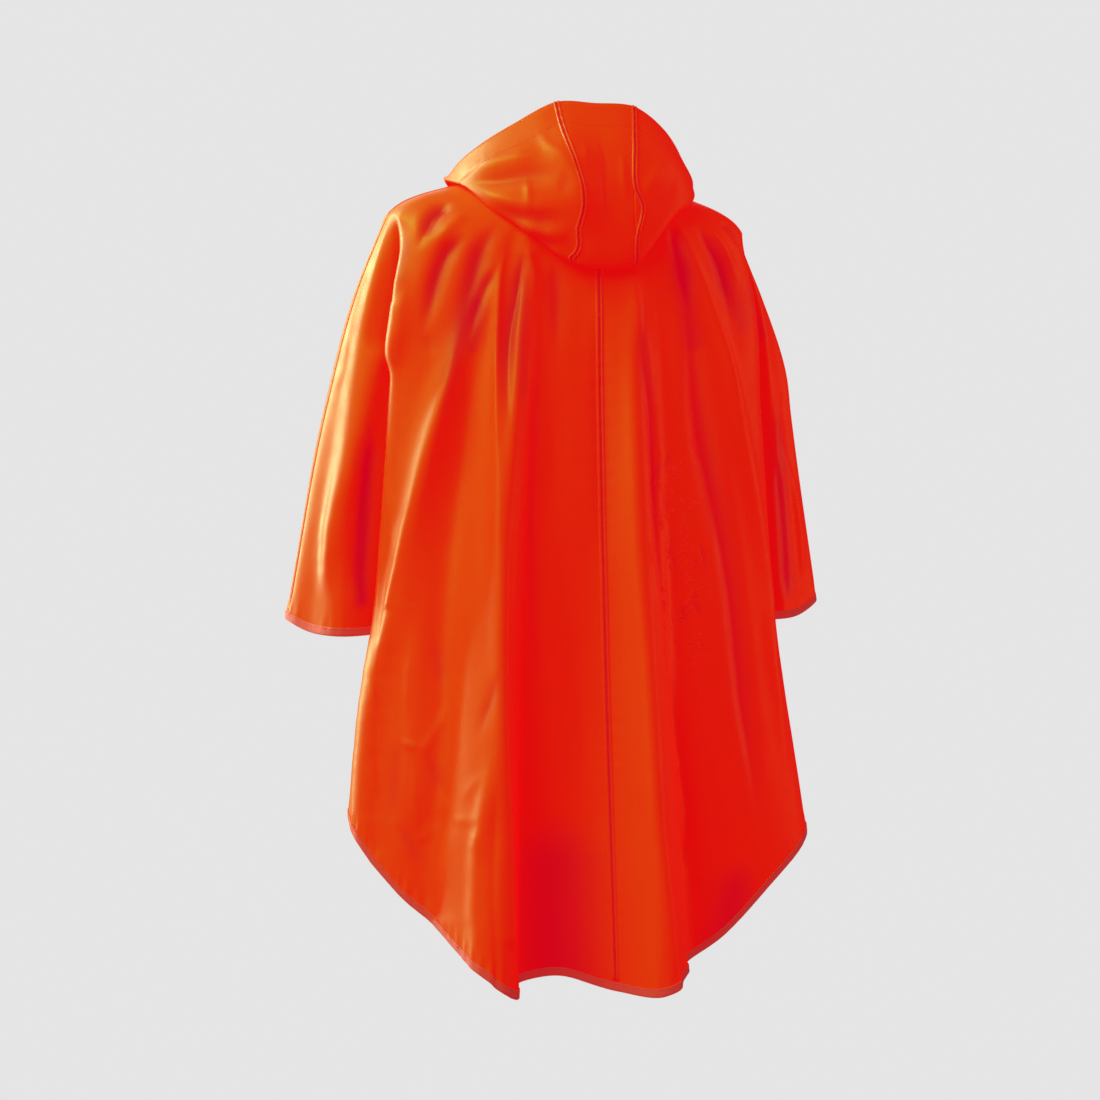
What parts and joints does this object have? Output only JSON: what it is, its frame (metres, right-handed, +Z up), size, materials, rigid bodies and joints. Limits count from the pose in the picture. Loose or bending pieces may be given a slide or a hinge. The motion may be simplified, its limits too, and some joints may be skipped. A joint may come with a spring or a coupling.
{
  "type": "rain poncho",
  "caption": "Hooded rain poncho of coated cloth with sleeves, in its worn form with the hood thrown back, open at neck, cuffs and hem, hem and cuffs bound with tape",
  "frame": {"origin": "middle of the neck opening, at the height of the high points of the shoulders, where the poncho hangs on its wearer", "axes": "+Z up, +Y towards the wearer's back, +X towards the wearer's left; the hem is at the bottom, the hood at +Y, its face opening up"},
  "size_m": [0.7231, 0.445, 1.0561],
  "materials": {
    "coated_cloth": "smooth woven cloth with a satin waterproof coating",
    "binding_tape": "matt woven tape with fine cross ribs"
  },
  "bodies": {
    "root": {"back_left": "coated_cloth", "back_right": "coated_cloth", "front": "coated_cloth", "hood_left": "coated_cloth", "hood_centre": "coated_cloth", "hood_right": "coated_cloth", "hem_binding": "binding_tape", "cuff_binding_left": "binding_tape", "cuff_binding_right": "binding_tape"}
  },
  "joints": []
}
